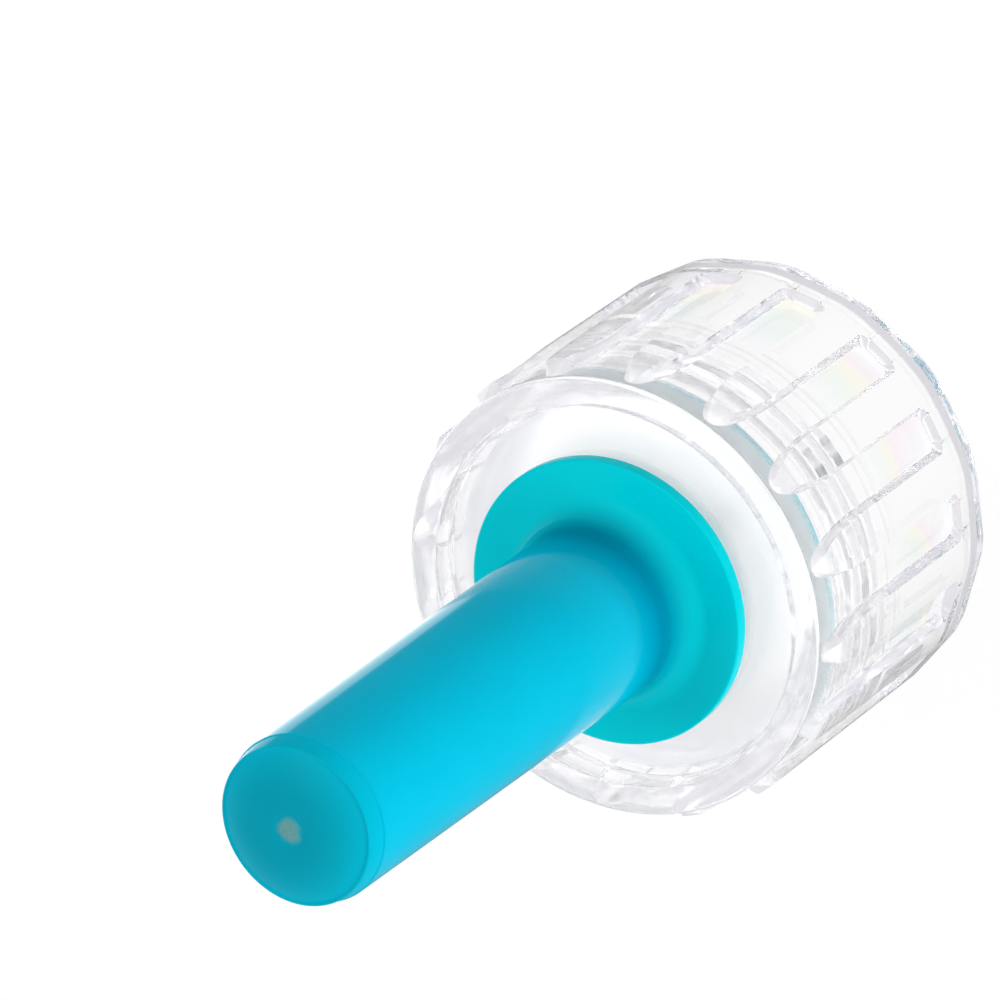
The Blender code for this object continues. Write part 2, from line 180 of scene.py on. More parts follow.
# Finish of the hub's faces, from 0 to 1: texture is how matt a face was left
UNDER_FLANGE_TEXTURE = 0.90
UNDER_FLANGE_RADIUS = 3.3         # the recess floor is matt as far as the flange covers it
RECESS_TEXTURE = 0.30
RECESS_WALL_TEXTURE = 0.15
RING_TEXTURE = 0.38
RING_SIDE_TEXTURE = 0.62
LAND_WALL_TEXTURE = 0.50
RIM_TEXTURE = 0.10
MOUTH_TEXTURE = 0.15
THREAD_TEXTURE, FLANK_TEXTURE = 0.20, 0.10
SEAT_TEXTURE = 0.64
# and shade is how grey its edges look
RIM_SHADE = 0.60
MOUTH_SHADE = 0.80
FLANK_SHADE = 0.25

# Levels of light, where 1 is white
ROOM_LEVEL = 0.57                 # the room, on surfaces that scatter it
SURROUND_LEVEL = 1.15             # the room, mirrored or through glass, times its grey tones
TABLE_LEVEL = 1.02                # the table, seen straight or through glass
TABLE_SHADOW = 0.10               # share of it that keeps the part's shadow
TABLE_MIRRORED = 0.30             # the table, mirrored, but for a white card on it behind the part
CARD_LEVEL = 2.20
CARD_SIDE = (0.24, 0.97, 0.0)     # the way to the card, which reaches 36 degrees to either side
CARD_EDGE = 0.81                  # cosine of that reach
CARD_BLUR = 0.02

# View: angles in degrees, lens and sensor in millimetres
VIEW_AZIMUTH = 10.69
VIEW_ELEVATION = 52.40
VIEW_ROLL = -124.63
VIEW_TARGET = (3.317, 0.106, 9.606)
VIEW_DISTANCE = 202.81
VIEW_LENS = 324.0
VIEW_SENSOR = 36.0


def stretch(start, end, count):
    """Points (r, z) spaced evenly from start to end, without the end."""
    share = np.arange(count)[:, None] / count
    return np.asarray(start) * (1.0 - share) + np.asarray(end) * share


def bend(center, radius, start, end, count):
    """Points (r, z) on a circle's arc from angle start to end in degrees, both ends kept."""
    turn = np.radians(np.linspace(start, end, count + 1))
    return np.stack([center[0] + radius * np.cos(turn), center[1] + radius * np.sin(turn)], axis=1)


def turned_grid(profile, columns):
    """Points of a turned surface: x = r cos a, y = r sin a for each point (r, z) and angle a."""
    angle = 2.0 * np.pi * np.arange(columns) / columns
    r = profile[:, 0][:, None]
    z = np.broadcast_to(profile[:, 1][:, None], (len(profile), columns))
    return np.stack([r * np.cos(angle), r * np.sin(angle), z], axis=2)


def grid_object(name, grid, closed_rows):
    """Mesh over a grid of points whose columns run round the axis.

    With closed_rows the last row meets the first. Without, the first and last rows lie on the axis,
    and each becomes one point.
    """
    rows, columns = grid.shape[:2]
    index = np.arange(rows * columns).reshape(rows, columns)
    beside = np.roll(index, -1, axis=1)
    mesh = bpy.data.meshes.new(name)
    if closed_rows:
        below, below_beside = np.roll(index, -1, axis=0), np.roll(beside, -1, axis=0)
        faces = np.stack([index, below, below_beside, beside], axis=2).reshape(-1, 4).tolist()
        points = grid.reshape(-1, 3)
    else:
        inner = index[1:-1] - columns + 1
        inner_beside = np.roll(inner, -1, axis=1)
        last = (rows - 2) * columns + 1
        quads = np.stack([inner[:-1], inner[1:], inner_beside[1:], inner_beside[:-1]], axis=2)
        first_fan = np.stack([np.zeros(columns, int), inner[0], inner_beside[0]], axis=1)
        last_fan = np.stack([inner[-1], np.full(columns, last), inner_beside[-1]], axis=1)
        faces = quads.reshape(-1, 4).tolist() + first_fan.tolist() + last_fan.tolist()
        points = np.concatenate([grid[0, :1], grid[1:-1].reshape(-1, 3), grid[-1, :1]])
    mesh.from_pydata(points * MM, [], faces)
    mesh.shade_smooth()
    mesh.set_sharp_from_angle(angle=SHARP_EDGE)
    piece = bpy.data.objects.new(name, mesh)
    bpy.context.scene.collection.objects.link(piece)
    return piece


def point_values(piece, name, values):
    """Store one number at each vertex, for the piece's material."""
    values = np.ascontiguousarray(values, dtype=np.float32).ravel()
    piece.data.attributes.new(name, "FLOAT", "POINT").data.foreach_set("value", values)


def linear(code):
    """sRGB hex colour as linear RGBA."""
    shares = [int(code[start:start + 2], 16) / 255.0 for start in (1, 3, 5)]
    return tuple(s / 12.92 if s <= 0.04045 else ((s + 0.055) / 1.055) ** 2.4 for s in shares) + (1.0,)


def add_node(tree, kind, settings=None, **inputs):
    """Add a node. settings are its own properties; inputs are numbers, colours or sockets.

    An input is named as on the node, with _ for a space, or by its place: i0 is the first.
    """
    node = tree.nodes.new("ShaderNode" + kind)
    for name, value in (settings or {}).items():
        setattr(node, name, value)
    for name, value in inputs.items():
        key = int(name[1:]) if name[1:].isdigit() else name.replace("_", " ")
        if isinstance(value, bpy.types.NodeSocket):
            tree.links.new(value, node.inputs[key])
        else:
            node.inputs[key].default_value = value
    return node


def new_material(name):
    """Empty node material and its tree."""
    material = bpy.data.materials.new(name)
    material.use_nodes = True
    material.node_tree.nodes.clear()
    return material, material.node_tree


def finish_material(tree, surface, volume=None):
    """Link the shaders to the material's output."""
    output = add_node(tree, "OutputMaterial", Surface=surface)
    if volume is not None:
        tree.links.new(volume, output.inputs["Volume"])


def skirt_radius(angle, z):
    """Radius of the lands: a circle cut by sixteen soft flats, sloping down to the ring at the tips.

    Over the slope the radius falls by its whole drop times share^1.5.
    """
    pitch = 2.0 * np.pi / LAND_COUNT
    off = (angle + pitch / 2.0) % pitch - pitch / 2.0
    share = np.clip((z - LAND_TIP + LAND_SLOPE) / LAND_SLOPE, 0.0, 1.0)
    crest = BODY_RADIUS - (BODY_RADIUS - RING_RADIUS) * share ** 1.5
    return np.minimum(crest, FLAT_RADIUS / np.cos(off))


def land_rows():
    """Heights and half widths of a land: half an ellipse, straight sides, hollow round corners."""
    nose_turn = np.radians(np.linspace(90.0, 0.0, 25))
    corner_turn = np.radians(np.linspace(0.0, 90.0, 7))
    nose_z = LAND_TIP - LAND_NOSE
    corner_z = POCKET_BOTTOM + LAND_WALL + LAND_FOOT
    straight_z = np.linspace(nose_z, corner_z, 10)[1:-1]
    z = [nose_z + LAND_NOSE * np.sin(nose_turn), straight_z, corner_z - LAND_FOOT * np.sin(corner_turn)]
    half = [
        LAND_HALF_WIDTH * np.cos(nose_turn),
        np.full(len(straight_z), LAND_HALF_WIDTH),
        LAND_HALF_WIDTH + LAND_FOOT * (1.0 - np.cos(corner_turn)),
    ]
    return np.concatenate(z), np.concatenate(half)


def gathered(step, inner_step, outer_step, last_step, inner, outer, last):
    """Angle of each column, with columns gathered at a feature's side walls.

    The angle rises evenly with the column's step from the middle, to inner at inner_step, to outer
    at outer_step and to last at last_step, and the same the other way.
    """
    size = np.abs(step)
    top = size / inner_step * inner
    wall = inner + (size - inner_step) / (outer_step - inner_step) * (outer - inner)
    rest = outer + (size - outer_step) / (last_step - outer_step) * (last - outer)
    return np.sign(step) * np.where(size <= inner_step, top, np.where(size <= outer_step, wall, rest))


def smooth_step(share):
    """Rise from 0 to 1 with level ends: 3s^2 - 2s^3."""
    share = np.clip(share, 0.0, 1.0)
    return share * share * (3.0 - 2.0 * share)


def skirt_grid():
    """Outer wall of the skirt, from the ring's edge down to the rim, with its colour and depth maps.

    Each row is one height. Between the lands the radius is the pocket floor's, and short sloping
    walls, smooth in section, lead up to the lands' crest. Over the last rows the pocket's lower end
    rises to the band in the same way.
    """
    land_z, land_half = land_rows()
    above = np.array([FACE - RING_EDGE, POCKET_TOP + LAND_WALL / 2.0, POCKET_TOP - LAND_WALL / 2.0])
    end = POCKET_BOTTOM + LAND_WALL * np.array([0.5, 0.0, -0.5, -1.0])
    below = np.array([0.5, 3.0 * SMALL_EDGE, SMALL_EDGE])
    z = np.concatenate([above, land_z, end, below])
    half = np.concatenate([np.zeros(3), land_half, np.full(len(end) + 3, land_half[-1])])
    sunk = np.concatenate([[0.0, 0.0, 1.0], np.ones(len(land_z)), [0.84, 0.5, 0.16, 0.0], np.zeros(3)])
    column = np.arange(HUB_COLUMNS)
    step = (column + PITCH_COLUMNS / 2.0) % PITCH_COLUMNS - PITCH_COLUMNS / 2.0
    center = 2.0 * np.pi * (column - step) / HUB_COLUMNS
    pitch = 2.0 * np.pi / LAND_COUNT
    foot = (half + LAND_WALL) / POCKET_RADIUS
    crest = np.maximum(half - LAND_WALL, 0.2 * half) / BODY_RADIUS
    inner, outer = pitch / 2.0 - foot[:, None], pitch / 2.0 - crest[:, None]
    off = gathered(step[None, :], WALL_START, WALL_END, PITCH_COLUMNS / 2.0, inner, outer, pitch / 2.0)
    angle = center[None, :] + off
    across = smooth_step((WALL_END - np.abs(step)) / (WALL_END - WALL_START))
    tall = half > 0.0
    depth = sunk[:, None] * np.where(tall[:, None], across[None, :], 1.0)
    surface = skirt_radius(angle, z[:, None])
    r = surface + depth * (POCKET_RADIUS - surface)
    # the pockets' colours fade in below the thread
    pale = smooth_step((THREAD_BOTTOM + 0.6 - z) / 1.8) * (sunk == 1.0)
    pocket = pale[:, None] * (np.abs(step) < WALL_START + 0.5)[None, :]
    grid = np.stack([r * np.cos(angle), r * np.sin(angle), np.broadcast_to(z[:, None], r.shape)], axis=2)
    return grid, pocket, depth


def thread_grid(z):
    """Threaded wall of the socket, and where its flanks are: the radius falls by the ridge's height.

    The helix climbs one pitch a turn. The ridge is a trapezoid in section and fades out at its ends.
    The flank value is 1 half way up and 0 at root and crest.
    """
    angle = 2.0 * np.pi * np.arange(HUB_COLUMNS)[None, :] / HUB_COLUMNS
    first = THREAD_BOTTOM + THREAD_MARGIN + THREAD_ROOT_WIDTH / 2.0
    last = WEB_UNDER - THREAD_MARGIN - THREAD_ROOT_WIDTH / 2.0
    turns = (last - first) / THREAD_PITCH
    share = angle / (2.0 * np.pi)
    whole = np.round((z[:, None] - first) / THREAD_PITCH - share)
    along = whole + share
    away = np.abs(z[:, None] - first - THREAD_PITCH * along)
    flank = (THREAD_ROOT_WIDTH - THREAD_CREST_WIDTH) / 2.0
    height = smooth_step((THREAD_ROOT_WIDTH / 2.0 - away) / flank)
    fade = smooth_step(along / THREAD_RUNOUT) * smooth_step((turns - along) / THREAD_RUNOUT)
    r = THREAD_ROOT - THREAD_DEPTH * height * fade
    grid = np.stack([r * np.cos(angle), r * np.sin(angle), np.broadcast_to(z[:, None], r.shape)], axis=2)
    return grid, 4.0 * height * (1.0 - height)


def build_hub():
    """One clear moulding as a closed loop of rows: neck, recess, ring, skirt, socket, web and bore.

    The point attribute "texture" says how matt a face is left, "shade" how grey its edges look, and
    "pocket" marks the pockets' floors.
    """
    step_z = NECK_TOP - NECK_TIP_LENGTH
    foot = (NECK_BASE_RADIUS + NECK_FOOT, COLLAR_TOP + NECK_FOOT)
    neck = np.concatenate([
        stretch((WELL_MOUTH_RADIUS, NECK_TOP), (NECK_TIP_RADIUS - NECK_TIP_EDGE, NECK_TOP), 3),
        bend((NECK_TIP_RADIUS - NECK_TIP_EDGE, NECK_TOP - NECK_TIP_EDGE), NECK_TIP_EDGE, 90, 0, 6),
        stretch((NECK_TIP_RADIUS, NECK_TOP - 2.0 * NECK_TIP_EDGE), (NECK_TIP_RADIUS, step_z + 0.10), 2),
        bend((NECK_TIP_RADIUS + 0.06, step_z + 0.06), 0.06, 180, 270, 2),
        bend((NECK_TIP_RADIUS + NECK_STEP - 0.04, step_z - 0.04), 0.04, 90, 0, 3),
        stretch((NECK_TIP_RADIUS + NECK_STEP + 0.01, step_z - 0.2), (NECK_BASE_RADIUS, foot[1]), 3),
        bend(foot, NECK_FOOT, 180, 270, 5),
        bend((COLLAR_RADIUS - SMALL_EDGE, COLLAR_TOP - SMALL_EDGE), SMALL_EDGE, 90, 0, 3),
    ])
    lip = RECESS_RADIUS - DRAFT
    recess_floor = stretch((COLLAR_RADIUS + DRAFT, RECESS_FLOOR), (lip - SMALL_EDGE, RECESS_FLOOR), 8)
    recess_wall = np.concatenate([
        bend((lip - SMALL_EDGE, RECESS_FLOOR + SMALL_EDGE), SMALL_EDGE, 270, 360, 3),
        bend((RECESS_RADIUS + SMALL_EDGE, FACE - SMALL_EDGE), SMALL_EDGE, 180, 90, 3),
    ])
    ring = np.concatenate([
        stretch((RECESS_RADIUS + 0.15, FACE), (RING_RADIUS - RING_EDGE, FACE), 2),
        bend((RING_RADIUS - RING_EDGE, FACE - RING_EDGE), RING_EDGE, 90, 15, 5),
    ])
    skirt, pocket, sunk = skirt_grid()
    mouth = stretch((SOCKET_RADIUS + MOUTH_CHAMFER, 0.0), (SOCKET_RADIUS, MOUTH_CHAMFER), 4)
    # fine radial tool marks: every column of the chamfer stands in or out a little
    marks = np.random.default_rng(7).uniform(-MOUTH_MARKS, MOUTH_MARKS, HUB_COLUMNS)
    mouth_rows = turned_grid(mouth, HUB_COLUMNS)
    mouth_rows[:, :, :2] *= 1.0 + (marks / SOCKET_RADIUS)[None, :, None]
    entrance = np.concatenate([
        stretch((SOCKET_RADIUS, MOUTH_CHAMFER), (SOCKET_RADIUS, THREAD_BOTTOM - THREAD_SEAT), 6),
        stretch((SOCKET_RADIUS, THREAD_BOTTOM - THREAD_SEAT), (THREAD_ROOT, THREAD_BOTTOM), 2),
    ])
    thread, flank = thread_grid(np.linspace(THREAD_BOTTOM, WEB_UNDER - THREAD_MARGIN, 72))
    seat = np.concatenate([
        stretch((SEAT_RADIUS, WEB_UNDER), (BORE_RADIUS + FUNNEL, WEB_UNDER), 6),
        stretch((BORE_RADIUS + FUNNEL, WEB_UNDER), (BORE_RADIUS, WEB_UNDER + FUNNEL), 2),
        stretch((BORE_RADIUS, WEB_UNDER + FUNNEL), (BORE_RADIUS, WELL_FLOOR), 3),
        bend((WELL_RADIUS - WELL_CORNER, WELL_FLOOR + WELL_CORNER), WELL_CORNER, 270, 360, 3),
    ])
    rim = shaped_edge(skirt[-1], SMALL_EDGE, -SMALL_EDGE, np.radians(np.array([30.0, 60.0, 90.0])))
    walls = 4.0 * sunk * (1.0 - sunk)
    # the ring's side wall is as milky as its face
    upper = RING_SIDE_TEXTURE * smooth_step((skirt[:, :, 2] - WEB_UNDER - 0.05) / 0.5)
    covered = np.where(recess_floor[:, 0] < UNDER_FLANGE_RADIUS, UNDER_FLANGE_TEXTURE, RECESS_TEXTURE)
    # each stretch of rows with its texture, its shade and its share of pocket floor
    stack = [
        (turned_grid(neck, HUB_COLUMNS), 0.0, 0.0, 0.0),
        (turned_grid(recess_floor, HUB_COLUMNS), covered[:, None], 0.0, 0.0),
        (turned_grid(recess_wall, HUB_COLUMNS), RECESS_WALL_TEXTURE, 0.0, 0.0),
        (turned_grid(ring, HUB_COLUMNS), RING_TEXTURE, 0.0, 0.0),
        (skirt, np.maximum(LAND_WALL_TEXTURE * walls, upper), 0.0, pocket),
        (rim, RIM_TEXTURE, RIM_SHADE, 0.0),
        (mouth_rows, MOUTH_TEXTURE, MOUTH_SHADE, 0.0),
        (turned_grid(entrance, HUB_COLUMNS), 0.0, 0.0, 0.0),
        (thread, THREAD_TEXTURE + FLANK_TEXTURE * flank, FLANK_SHADE * flank, 0.0),
        (turned_grid(seat, HUB_COLUMNS), SEAT_TEXTURE, 0.0, 0.0),
    ]
    hub = grid_object("clear_hub", np.concatenate([layer[0] for layer in stack]), closed_rows=True)
    for place, name in enumerate(("texture", "shade", "pocket"), start=1):
        values = [np.broadcast_to(layer[place], layer[0].shape[:2]) for layer in stack]
        point_values(hub, name, np.concatenate(values))
    return hub


def shaped_edge(row, level, size, turns):
    """Rows that round an edge next to a row of the skirt.

    At turn t each point of the row moves in by |size| (1 - cos t) and along Z by size sin t from
    level.
    """
    away = np.hypot(row[:, 0], row[:, 1])
    shrink = 1.0 - abs(size) * (1.0 - np.cos(turns))[:, None] / away[None, :]
    z = np.broadcast_to((level + size * np.sin(turns))[:, None], shrink.shape)
    return np.stack([row[:, 0] * shrink, row[:, 1] * shrink, z], axis=2)


def build_shield():
    """Turned shield: gate mark, domed end, sloping shoulder, tapered tube, fillet, flange and bore.

    The end's height falls by DOME_RISE times share^2 from the flat middle to the lip. The gate mark
    stands in a shallow well and is ragged: its radius varies with sines of the angle.
    """
    well = SHIELD_FACE - GATE_WELL_DEPTH
    lip_z = SHIELD_FACE - DOME_RISE
    tube_top = lip_z - END_LIP_ROUND - END_SLOPE - END_STEP
    nub = stretch((0.0, SHIELD_FACE), (GATE_RADIUS, SHIELD_FACE), 5)
    skirt = np.concatenate([
        stretch((GATE_RADIUS, SHIELD_FACE), (GATE_RADIUS + 0.08, well), 3),
        stretch((GATE_RADIUS + 0.08, well), (GATE_WELL_RADIUS - 0.08, well), 3),
        stretch((GATE_WELL_RADIUS - 0.08, well), (GATE_WELL_RADIUS, SHIELD_FACE), 3),
    ])
    share = np.linspace(0.0, 1.0, 16)
    dome_r = FLAT_END_RADIUS + (END_LIP_RADIUS - 2.6 * END_LIP_ROUND - FLAT_END_RADIUS) * share
    dome = np.stack([dome_r, SHIELD_FACE - DOME_RISE * share ** 2], axis=1)
    shoulder = np.concatenate([
        bend((END_LIP_RADIUS - END_LIP_ROUND, lip_z - 0.7 * END_LIP_ROUND), END_LIP_ROUND, 135, 10, 6),
        np.array([(TUBE_TIP_RADIUS - END_STEP, tube_top + END_STEP), (TUBE_TIP_RADIUS, tube_top)]),
    ])
    tube = stretch((TUBE_TIP_RADIUS, tube_top - 0.05), (TUBE_BASE_RADIUS, FLANGE_TOP + FLANGE_FILLET), 24)
    corner = (TUBE_BASE_RADIUS + FLANGE_FILLET, FLANGE_TOP + FLANGE_FILLET)
    edge_r = FLANGE_RADIUS - FLANGE_EDGE
    profile = np.concatenate([
        nub,
        skirt,
        stretch((GATE_WELL_RADIUS + 0.03, SHIELD_FACE), (FLAT_END_RADIUS - 0.05, SHIELD_FACE), 4),
        dome,
        shoulder,
        tube,
        bend(corner, FLANGE_FILLET, 180, 270, 14),
        stretch((corner[0] + 0.05, FLANGE_TOP), (edge_r, FLANGE_TOP), 4),
        bend((edge_r, FLANGE_TOP - FLANGE_EDGE), FLANGE_EDGE, 90, 0, 5),
        bend((edge_r, FLANGE_BOTTOM + FLANGE_EDGE), FLANGE_EDGE, 0, -90, 5),
        stretch((edge_r - 0.1, FLANGE_BOTTOM), (SHIELD_BORE_RADIUS + LEAD_IN, FLANGE_BOTTOM), 5),
        stretch(
            (SHIELD_BORE_RADIUS + LEAD_IN, FLANGE_BOTTOM),
            (SHIELD_BORE_RADIUS, FLANGE_BOTTOM + LEAD_IN),
            2,
        ),
        stretch(
            (SHIELD_BORE_RADIUS, FLANGE_BOTTOM + LEAD_IN),
            (SHIELD_BORE_TIP_RADIUS, SHIELD_BORE_END - BORE_ROUND),
            16,
        ),
        bend((SHIELD_BORE_TIP_RADIUS - BORE_ROUND, SHIELD_BORE_END - BORE_ROUND), BORE_ROUND, 0, 90, 6),
        np.array([[0.5, SHIELD_BORE_END], [0.0, SHIELD_BORE_END]]),
    ])
    grid = turned_grid(profile, SHIELD_COLUMNS)
    angle = 2.0 * np.pi * np.arange(SHIELD_COLUMNS) / SHIELD_COLUMNS
    ragged = 1.0 + 0.20 * np.sin(angle + 0.6) + 0.12 * np.sin(3.0 * angle + 2.0)
    ragged += 0.05 * np.sin(5.0 * angle)
    rows = len(nub) + 4
    grid[:rows, :, :2] *= ragged[None, :, None]
    worn = np.sin(21.0 * grid[1:len(nub), :, 0]) * np.cos(17.0 * grid[1:len(nub), :, 1] + 0.7)
    grid[1:len(nub), :, 2] -= 0.02 * np.abs(worn)
    return grid_object("turquoise_shield", grid, closed_rows=False)


def bevel_height(x, y):
    """Height of the ground point over (x, y): the lowest of one main plane and two side planes."""
    slope = math.atan2(2.0 * CANNULA_RADIUS, BEVEL_LENGTH)
    height = POINT - BEVEL_LENGTH / 2.0 - x / math.tan(slope)
    for side in (1.0, -1.0):
        lean_x, lean_y = math.cos(FACET_TURN), side * math.sin(FACET_TURN)
        away = (x + CANNULA_RADIUS) * lean_x + y * lean_y
        height = np.minimum(height, POINT - FACET_DROP - away / math.tan(FACET_STEEPER * slope))
    return height


def build_cannula():
    """Tube ground at both ends: each column runs straight between the two ground planes."""
    angle = 2.0 * np.pi * np.arange(CANNULA_COLUMNS) / CANNULA_COLUMNS
    slope = math.atan2(2.0 * CANNULA_RADIUS, BEVEL_LENGTH)
    share = np.linspace(0.0, 1.0, 24)[:, None]
    walls = []
    for radius, down in ((CANNULA_RADIUS, True), (LUMEN_RADIUS, False)):
        x, y = radius * np.cos(angle), radius * np.sin(angle)
        front = bevel_height(x, y)
        back = CANNULA_BACK + BEVEL_LENGTH / 2.0 + x / math.tan(slope)
        along = share if down else 1.0 - share
        z = front + (back - front) * along
        walls.append(np.stack([np.broadcast_to(x, z.shape), np.broadcast_to(y, z.shape), z], axis=2))
    return grid_object("ground_cannula", np.concatenate(walls), closed_rows=True)


def build_bead():
    """Glue in the well, with a meniscus that climbs the cannula: its height falls as a quarter circle."""
    inner = CANNULA_RADIUS + 0.02
    outer = WELL_MOUTH_RADIUS - 0.025
    rim_z = NECK_TOP - 0.06
    share = np.linspace(0.0, 1.0, 12)
    climb = bead_high[2] - rim_z
    rise = climb * (1.0 - np.sqrt(1.0 - (1.0 - share) ** 2))
    meniscus = np.stack([inner + (outer - inner) * share, rim_z + rise], axis=1)
    meniscus[0] = (inner + 0.015, rim_z + climb)
    bottom = (WELL_RADIUS - 0.02, bead_low[2] + 0.08)
    profile = np.concatenate([
        meniscus,
        stretch((outer - 0.005, rim_z - 0.05), bottom, 5),
        bend((bottom[0] - 0.08, bottom[1]), 0.08, 0, -90, 4),
        stretch((inner, bead_low[2]), (inner, rim_z + climb - 0.01), 6),
        np.array([[inner, rim_z + climb - 0.01]]),
    ])
    return grid_object("glue_bead", turned_grid(profile, BEAD_COLUMNS), closed_rows=True)


def clear_plastic():
    """Water-clear injection-moulded copolymer.

    Polished walls, so see-through with soft refracted edges; the ring's face, the web and the thread's
    flanks were left spark-eroded, and are milky and blur what lies behind them. Long paths through it
    go a little grey and lilac, and the thin pocket floors show pale patches of colour from moulding
    stress.
    """
    material, tree = new_material("clear_moulded_copolymer")
    place = add_node(tree, "TexCoord").outputs["Object"]
    pocket = add_node(tree, "Attribute", {"attribute_name": "pocket"}).outputs["Fac"]
    texture = add_node(tree, "Attribute", {"attribute_name": "texture"}).outputs["Fac"]
    # one run of colours for each 4 mm or so, wandering with the flow of the melt
    flow = add_node(tree, "TexNoise", Vector=place, Scale=330.0, Detail=1.0, Roughness=0.4)
    height = add_node(tree, "SeparateXYZ", Vector=place).outputs["Z"]
    climb = add_node(tree, "Math", {"operation": "MULTIPLY"}, i0=height, i1=240.0).outputs[0]
    wander = add_node(tree, "Math", {"operation": "MULTIPLY_ADD"}, i0=flow.outputs["Fac"], i1=1.6, i2=climb)
    phase = add_node(tree, "Math", {"operation": "FRACT"}, i0=wander.outputs[0]).outputs[0]
    bands = add_node(tree, "ValToRGB", Fac=phase)
    hues = ["#FFFFFF", "#FBFAFF", "#FFEEF6", "#FDFBE4", "#ECF9EE", "#EEF7FC", "#FFFFFF"]
    ramp = bands.color_ramp
    ramp.elements[1].position = 1.0
    for index in range(1, len(hues)):
        ramp.elements.new(index / len(hues))
    for element, hue in zip(ramp.elements, hues + hues[:1]):
        element.color = linear(hue)
    tint = add_node(
        tree, "Mix", {"data_type": "RGBA"}, i0=pocket, i6=linear("#FFFFFF"), i7=bands.outputs["Color"]
    )
    # sharp moulded edges and thread flanks send light away, and read as grey lines
    shade = add_node(tree, "Attribute", {"attribute_name": "shade"}).outputs["Fac"]
    edged = add_node(
        tree, "Mix", {"data_type": "RGBA"}, i0=shade, i6=tint.outputs[2], i7=linear("#AFACB8")
    )
    rough = add_node(tree, "Math", {"operation": "MULTIPLY_ADD"}, i0=texture, i1=0.45, i2=0.03).outputs[0]
    milk = add_node(tree, "Math", {"operation": "POWER"}, i0=texture, i1=1.5).outputs[0]
    clear = add_node(tree, "Math", {"operation": "MULTIPLY_ADD"}, i0=milk, i1=-0.5, i2=1.0).outputs[0]
    # faint draw marks of the mould, about 0.5 mm apart and 4 mm long
    pulled = add_node(tree, "Mapping", {"vector_type": "POINT"}, Vector=place, Scale=(1.0, 1.0, 0.12))
    skin = add_node(tree, "TexNoise", Vector=pulled.outputs["Vector"], Scale=2000.0, Detail=2.0)
    bump = add_node(tree, "Bump", Strength=0.12, Distance=0.00005, Height=skin.outputs["Fac"])
    shader = add_node(
        tree,
        "BsdfPrincipled",
        Base_Color=edged.outputs[2],
        Roughness=rough,
        IOR=1.49,
        Transmission_Weight=clear,
        Normal=bump.outputs["Normal"],
    )
    # lamp light goes on through the clear wall, to the shield and the table
    shadow_ray = add_node(tree, "LightPath").outputs["Is Shadow Ray"]
    open_share = add_node(tree, "Math", {"operation": "MULTIPLY"}, i0=shadow_ray, i1=0.85).outputs[0]
    through = add_node(tree, "BsdfTransparent", Color=linear("#F4F3F7"))
    surface = add_node(
        tree, "MixShader", i0=open_share, i1=shader.outputs["BSDF"], i2=through.outputs["BSDF"]
    )
    haze = add_node(tree, "VolumeAbsorption", Color=linear("#E4E2EC"), Density=35.0)
    finish_material(tree, surface.outputs["Shader"], haze.outputs["Volume"])
    return material


